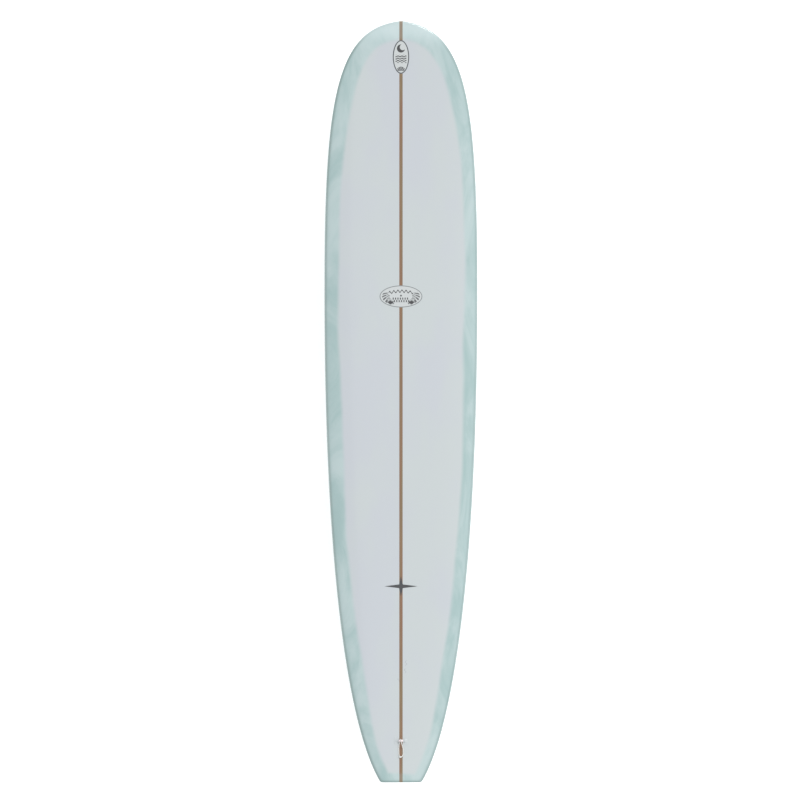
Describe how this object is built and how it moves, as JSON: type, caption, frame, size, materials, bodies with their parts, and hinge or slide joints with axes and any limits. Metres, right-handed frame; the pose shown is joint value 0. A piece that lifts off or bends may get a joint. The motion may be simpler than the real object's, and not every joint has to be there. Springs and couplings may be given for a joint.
{
  "type": "surfboard",
  "caption": "Round-nosed longboard with a narrow square tail, pale deck, wooden stringer, tinted rail laps, sliding centre fin in a long box, and a leash loop with its string.",
  "frame": {"origin": "low point of the bottom, on the stringer line at mid length", "axes": "+Y from tail to nose, +Z from the bottom to the deck, +X to the right rail seen from above with the nose up"},
  "size_m": [0.586, 2.896, 0.3043],
  "materials": {
    "foam": "matte",
    "stringer": "satin",
    "tinted_glass_cloth": "satin",
    "clear_glass_cloth": "satin",
    "gloss_resin": "polished",
    "box_plastic": "satin",
    "box_resin": "satin",
    "fin_laminate": "gloss",
    "brass": "satin",
    "steel": "satin",
    "loop_laminate": "gloss",
    "string": "matte",
    "decal_paper": "satin",
    "decal_ink": "satin"
  },
  "bodies": {
    "board": {"blank_left": "foam", "blank_right": "foam", "stringer": "stringer", "bottom_glass": "tinted_glass_cloth", "deck_glass": "clear_glass_cloth", "bottom_gloss_coat": "gloss_resin", "deck_gloss_coat": "gloss_resin", "fin_box": "box_plastic", "fin_box_resin": "box_resin", "leash_loop": "loop_laminate", "leash_loop_patches": "clear_glass_cloth", "nose_decal": "decal_paper", "centre_decal": "decal_paper", "tail_decal": "decal_ink"},
    "fin_and_pin": {"fin": "fin_laminate", "fin_pin": "brass"},
    "plate": {"fin_plate": "steel"},
    "screw": {"fin_screw": "steel"},
    "leash": {"leash_string": "string", "leash_knot": "string"}
  },
  "joints": [
    {"name": "fin_slide", "type": "slide", "parent": "board", "child": "fin_and_pin", "axis": [0, 0.9898, -0.1426], "range_m": [-0.03, 0.012]},
    {"name": "fin_screw_turn", "type": "hinge", "parent": "fin_and_pin", "child": "screw", "pos_m": [0, -1.10798, 0.04047], "axis": [0, -0.1426, -0.9898], "range_deg": [0, 540]},
    {"name": "fin_plate_travel", "type": "slide", "parent": "fin_and_pin", "child": "plate", "axis": [0, 0.1426, 0.9898], "range_m": [0, 0.00119]},
    {"name": "leash_string_swing", "type": "hinge", "parent": "board", "child": "leash", "pos_m": [-0.0014, -1.28923, 0.11678], "axis": [-1, 0, 0], "range_deg": [0, 155]}
  ],
  "couplings": [
    {"joint": "fin_screw_turn", "follows": "fin_plate_travel", "rad_per_m": 7913.3}
  ]
}
